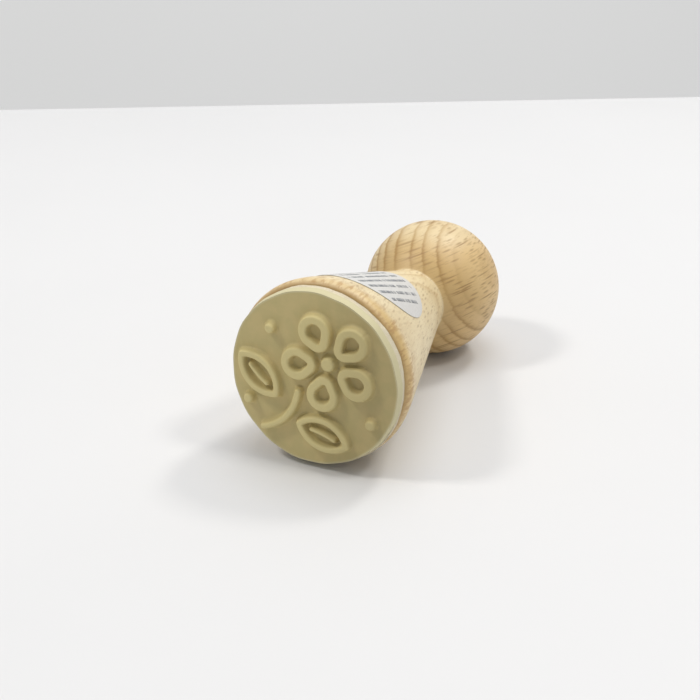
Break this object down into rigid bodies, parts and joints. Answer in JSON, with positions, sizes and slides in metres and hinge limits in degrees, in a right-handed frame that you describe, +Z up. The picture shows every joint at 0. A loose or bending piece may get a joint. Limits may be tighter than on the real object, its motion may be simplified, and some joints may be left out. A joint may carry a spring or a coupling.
{
  "type": "wooden rubber stamp",
  "caption": "Hand stamp lying on its side: a turned wooden handle with a ball knob, and a round moulded rubber die on a sponge cushion.",
  "frame": {"origin": "the point of the table under the middle of the stamp's length and width, with the stamp lying on its side", "axes": "+Y from the printing side towards the ball knob, +Z up; the turning axis drops 3.3 degrees towards the ball, because the rim and the ball both touch the table"},
  "size_m": [0.0318, 0.0676, 0.0317],
  "materials": {
    "beech": "sanded, unvarnished",
    "sponge": "matt, fine-celled",
    "rubber": "matt, moulded",
    "paper": "matt, printed with plain grey dashes"
  },
  "bodies": {
    "root": {"handle": "beech", "cushion": "sponge", "die": "rubber", "label": "paper"}
  },
  "joints": []
}
